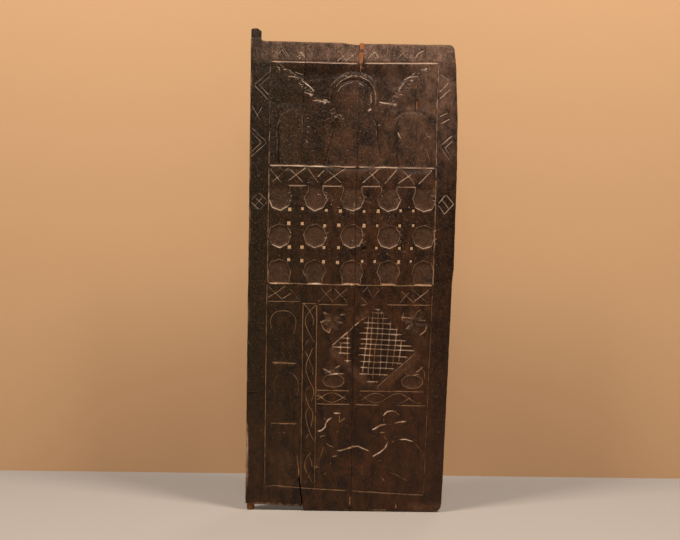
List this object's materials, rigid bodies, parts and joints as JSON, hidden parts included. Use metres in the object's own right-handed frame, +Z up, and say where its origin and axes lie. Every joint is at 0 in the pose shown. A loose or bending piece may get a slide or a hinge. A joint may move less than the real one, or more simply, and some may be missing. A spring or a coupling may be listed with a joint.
{
  "type": "carved plank door leaf",
  "caption": "Heavy carved wooden door leaf of two planks with pivots at its hinge side, pierced disc field, keyhole motifs, lozenge and rider panels, and ledges nailed across its back.",
  "frame": {"origin": "centre of the lower pivot's foot, on the pivot axis", "axes": "+Z up along the pivot axis, +X from the pivot axis to the free edge, carved face towards -Y"},
  "size_m": [0.738, 0.071, 1.708],
  "materials": {
    "waxed_wood": "dark hand-waxed",
    "aged_wood": "dry aged",
    "raw_wood": "bare",
    "forged_iron": "forged, worn"
  },
  "bodies": {
    "root": {"hinge_plank": "waxed_wood", "closing_plank": "waxed_wood", "seam_slip": "raw_wood", "upper_ledge": "aged_wood", "lower_ledge": "aged_wood", "upper_ledge_nails": "forged_iron", "lower_ledge_nails": "forged_iron", "seam_staples": "forged_iron", "stile_staple": "forged_iron", "stile_nails": "forged_iron"}
  },
  "joints": []
}
